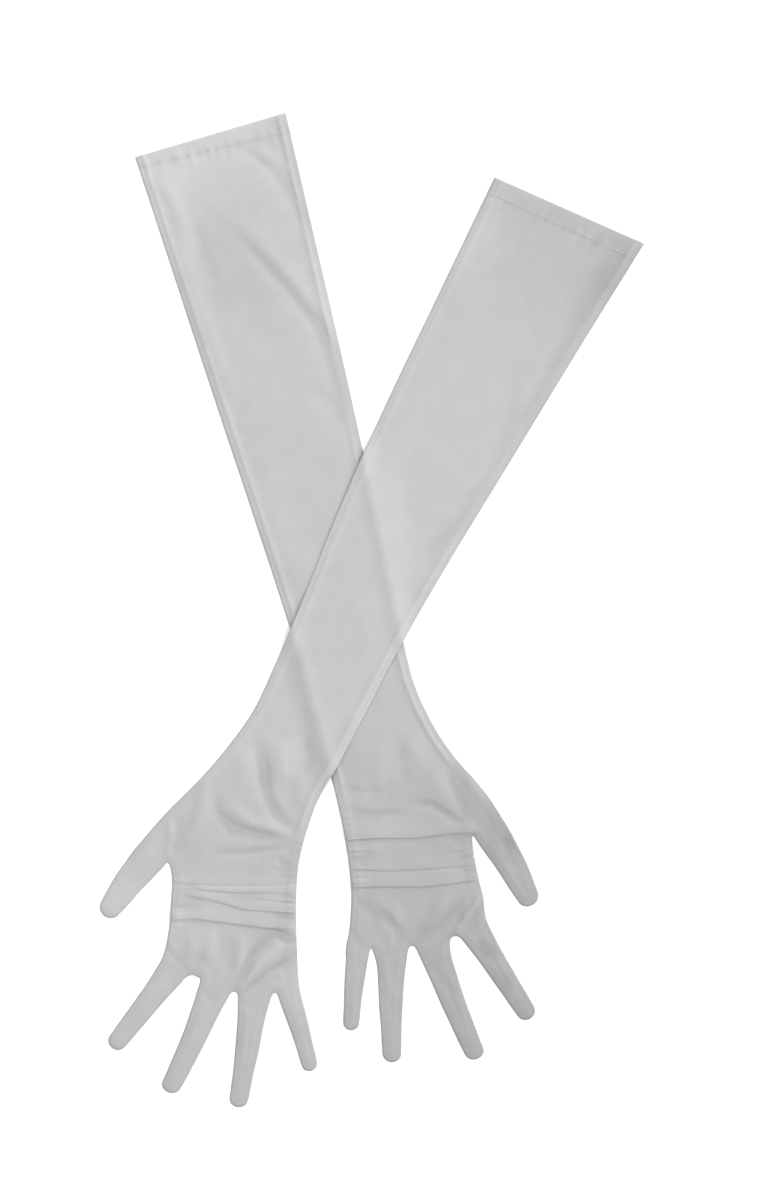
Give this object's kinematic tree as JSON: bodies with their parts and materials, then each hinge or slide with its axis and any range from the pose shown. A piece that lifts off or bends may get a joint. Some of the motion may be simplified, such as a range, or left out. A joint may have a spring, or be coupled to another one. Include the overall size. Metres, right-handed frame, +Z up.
{
  "type": "opera gloves",
  "caption": "Long sheer stretch-mesh opera gloves laid flat and crossed, with gathered hands, open-ended sleeves and hemmed cuffs; sleeves, hands and fingers fold.",
  "frame": {"origin": "middle of the footprint of the crossed pair, on the table", "axes": "+Z up from the table; +Y towards the cuffs along the length of the pair; +X to the right with the palm sides facing up"},
  "size_m": [0.3278, 0.6072, 0.0136],
  "materials": {
    "stretch_mesh": "sheer fine-knit stretch mesh, soft matt with a faint sheen",
    "seam_allowance": "two raw mesh edges overlocked together",
    "hem_band": "mesh turned double and stitched",
    "gathering_elastic": "narrow braided elastic",
    "stitching_thread": "spun polyester thread, matt"
  },
  "bodies": {
    "left_forearm": {"left_forearm_palm_panel": "stretch_mesh", "left_forearm_back_panel": "stretch_mesh", "left_forearm_little_seam": "seam_allowance", "left_forearm_thumb_seam": "seam_allowance"},
    "left_upper_sleeve": {"left_upper_sleeve_palm_panel": "stretch_mesh", "left_upper_sleeve_back_panel": "stretch_mesh", "left_upper_sleeve_little_seam": "seam_allowance", "left_upper_sleeve_thumb_seam": "seam_allowance", "left_cuff_hem": "hem_band", "left_hem_stitches": "stitching_thread"},
    "left_hand": {"left_hand_palm_panel": "stretch_mesh", "left_hand_back_panel": "stretch_mesh", "left_hand_seam": "seam_allowance", "left_hand_little_elastic": "gathering_elastic", "left_hand_thumb_elastic": "gathering_elastic"},
    "left_little_finger": {"left_little_finger": "stretch_mesh"},
    "left_ring_finger": {"left_ring_finger": "stretch_mesh"},
    "left_middle_finger": {"left_middle_finger": "stretch_mesh"},
    "left_index_finger": {"left_index_finger": "stretch_mesh"},
    "left_thumb": {"left_thumb": "stretch_mesh"},
    "right_forearm": {"right_forearm_palm_panel": "stretch_mesh", "right_forearm_back_panel": "stretch_mesh", "right_forearm_little_seam": "seam_allowance", "right_forearm_thumb_seam": "seam_allowance"},
    "right_upper_sleeve": {"right_upper_sleeve_palm_panel": "stretch_mesh", "right_upper_sleeve_back_panel": "stretch_mesh", "right_upper_sleeve_little_seam": "seam_allowance", "right_upper_sleeve_thumb_seam": "seam_allowance", "right_cuff_hem": "hem_band", "right_hem_stitches": "stitching_thread"},
    "right_hand": {"right_hand_palm_panel": "stretch_mesh", "right_hand_back_panel": "stretch_mesh", "right_hand_seam": "seam_allowance", "right_hand_little_elastic": "gathering_elastic", "right_hand_thumb_elastic": "gathering_elastic"},
    "right_little_finger": {"right_little_finger": "stretch_mesh"},
    "right_ring_finger": {"right_ring_finger": "stretch_mesh"},
    "right_middle_finger": {"right_middle_finger": "stretch_mesh"},
    "right_index_finger": {"right_index_finger": "stretch_mesh"},
    "right_thumb": {"right_thumb": "stretch_mesh"}
  },
  "joints": [
    {"name": "left_elbow_fold", "type": "hinge", "parent": "left_forearm", "child": "left_upper_sleeve", "pos_m": [-0.05479, 0.13815, 0.0066], "axis": [0.9632, 0.2689, 0], "range_deg": [0, 90]},
    {"name": "left_wrist_fold", "type": "hinge", "parent": "left_forearm", "child": "left_hand", "pos_m": [0.0161, -0.10162, 0.0066], "axis": [-0.9632, -0.2689, 0], "range_deg": [0, 60]},
    {"name": "left_little_finger_fold", "type": "hinge", "parent": "left_hand", "child": "left_little_finger", "pos_m": [-0.00653, -0.20723, 0.0046], "axis": [-0.9995, 0.0332, 0], "range_deg": [0, 90]},
    {"name": "left_ring_finger_fold", "type": "hinge", "parent": "left_hand", "child": "left_ring_finger", "pos_m": [0.01356, -0.2066, 0.0046], "axis": [-0.9974, -0.0715, 0], "range_deg": [0, 90]},
    {"name": "left_middle_finger_fold", "type": "hinge", "parent": "left_hand", "child": "left_middle_finger", "pos_m": [0.03915, -0.20276, 0.0046], "axis": [-0.9759, -0.2181, 0], "range_deg": [0, 90]},
    {"name": "left_index_finger_fold", "type": "hinge", "parent": "left_hand", "child": "left_index_finger", "pos_m": [0.06193, -0.19426, 0.0046], "axis": [-0.8652, -0.5015, 0], "range_deg": [0, 90]},
    {"name": "left_thumb_fold", "type": "hinge", "parent": "left_hand", "child": "left_thumb", "pos_m": [0.07255, -0.13347, 0.0046], "axis": [-0.8712, -0.4909, 0], "range_deg": [0, 60]},
    {"name": "right_glove_lift", "type": "slide", "parent": "left_forearm", "child": "right_forearm", "axis": [0, 0, 1], "range_m": [0, 0.15]},
    {"name": "right_elbow_fold", "type": "hinge", "parent": "right_forearm", "child": "right_upper_sleeve", "pos_m": [0.04535, 0.10256, 0.0066], "axis": [0.8854, -0.4648, 0], "range_deg": [0, 90]},
    {"name": "right_wrist_fold", "type": "hinge", "parent": "right_forearm", "child": "right_hand", "pos_m": [-0.07015, -0.11916, 0.0066], "axis": [-0.8854, 0.4648, 0], "range_deg": [0, 60]},
    {"name": "right_little_finger_fold", "type": "hinge", "parent": "right_hand", "child": "right_little_finger", "pos_m": [-0.04996, -0.23196, 0.0046], "axis": [-0.9494, -0.314, 0], "range_deg": [0, 90]},
    {"name": "right_ring_finger_fold", "type": "hinge", "parent": "right_hand", "child": "right_ring_finger", "pos_m": [-0.06977, -0.23402, 0.0046], "axis": [-0.9996, 0.0297, 0], "range_deg": [0, 90]},
    {"name": "right_middle_finger_fold", "type": "hinge", "parent": "right_hand", "child": "right_middle_finger", "pos_m": [-0.09481, -0.22864, 0.0046], "axis": [-0.9291, 0.3697, 0], "range_deg": [0, 90]},
    {"name": "right_index_finger_fold", "type": "hinge", "parent": "right_hand", "child": "right_index_finger", "pos_m": [-0.11675, -0.21785, 0.0046], "axis": [-0.8508, 0.5255, 0], "range_deg": [0, 90]},
    {"name": "right_thumb_fold", "type": "hinge", "parent": "right_hand", "child": "right_thumb", "pos_m": [-0.13092, -0.14829, 0.0046], "axis": [-0.7627, 0.6468, 0], "range_deg": [0, 60]}
  ]
}
